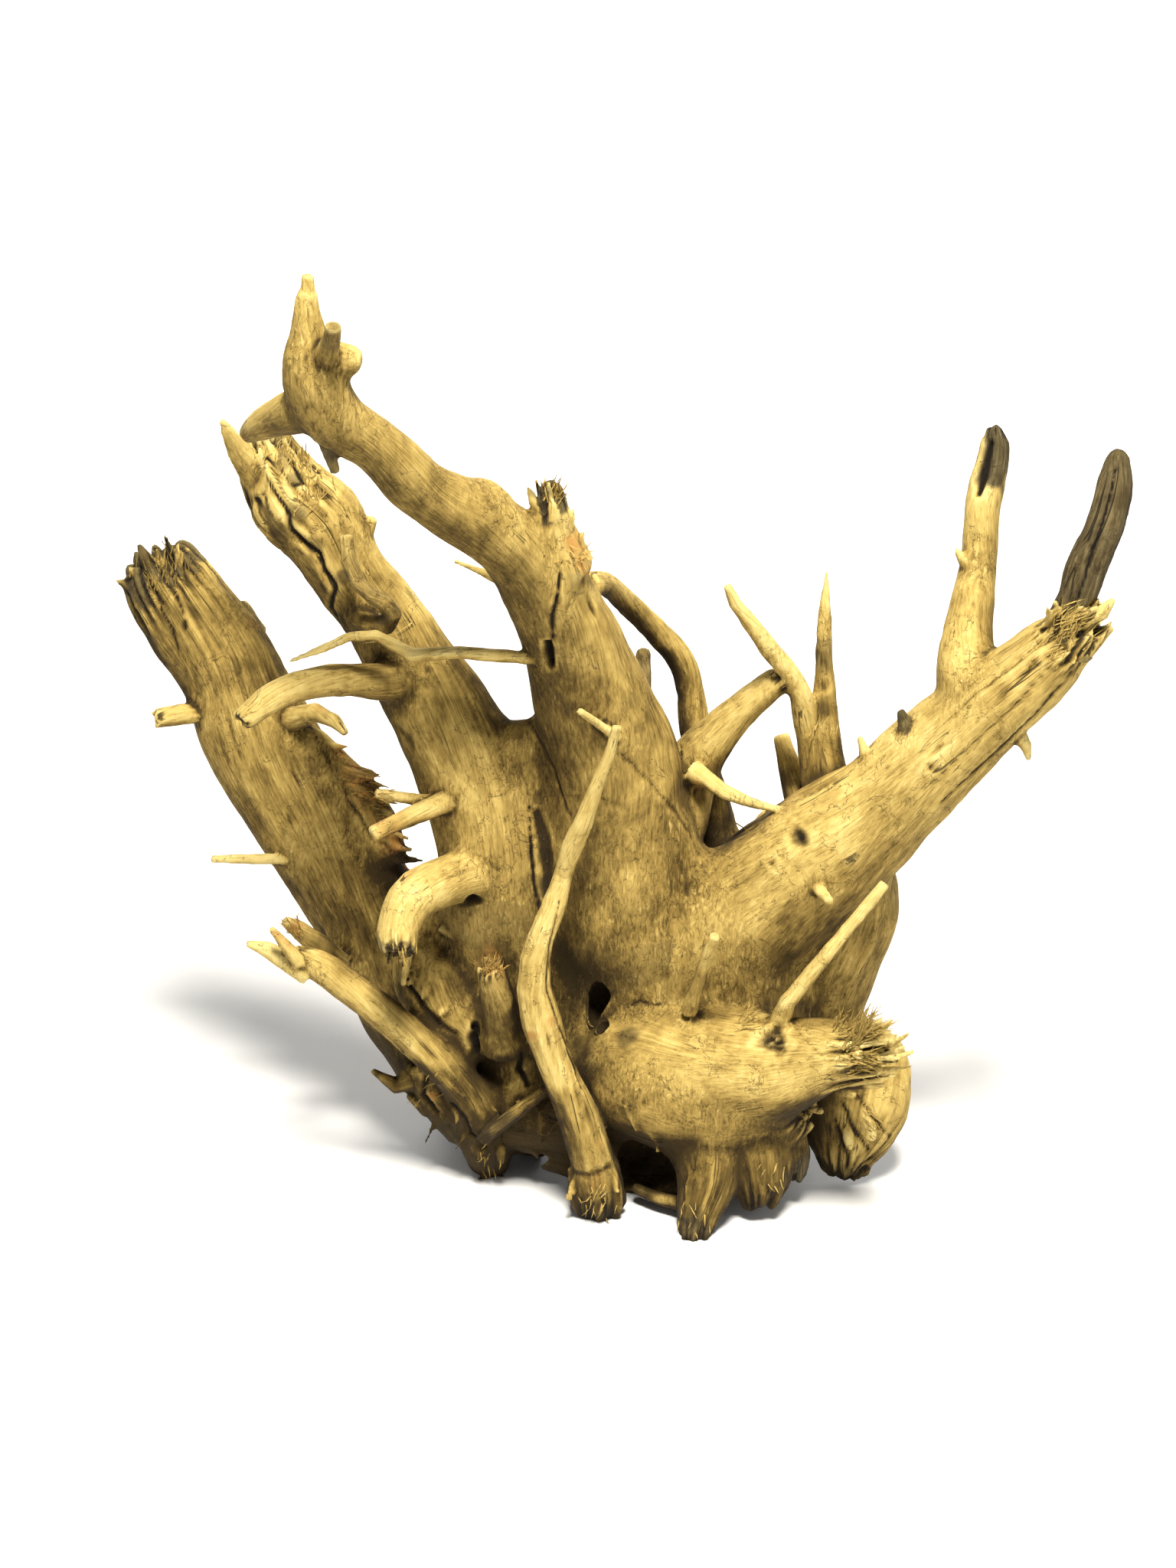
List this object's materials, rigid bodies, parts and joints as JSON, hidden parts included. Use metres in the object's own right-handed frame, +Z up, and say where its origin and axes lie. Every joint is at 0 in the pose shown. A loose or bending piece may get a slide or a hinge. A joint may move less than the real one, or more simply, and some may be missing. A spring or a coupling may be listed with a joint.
{
  "type": "weathered root stump",
  "caption": "Weathered driftwood root stump with broken arms, branches and twigs, standing on its cut-off feet.",
  "frame": {"origin": "on the ground under the middle of the bounding box", "axes": "+Z up, front towards -Y, the right arm towards +X"},
  "size_m": [0.6382, 0.318, 0.6212],
  "materials": {
    "root_wood": "dry weathered bare wood, matt"
  },
  "bodies": {
    "root": {"corbo_root": "root_wood"}
  },
  "joints": []
}
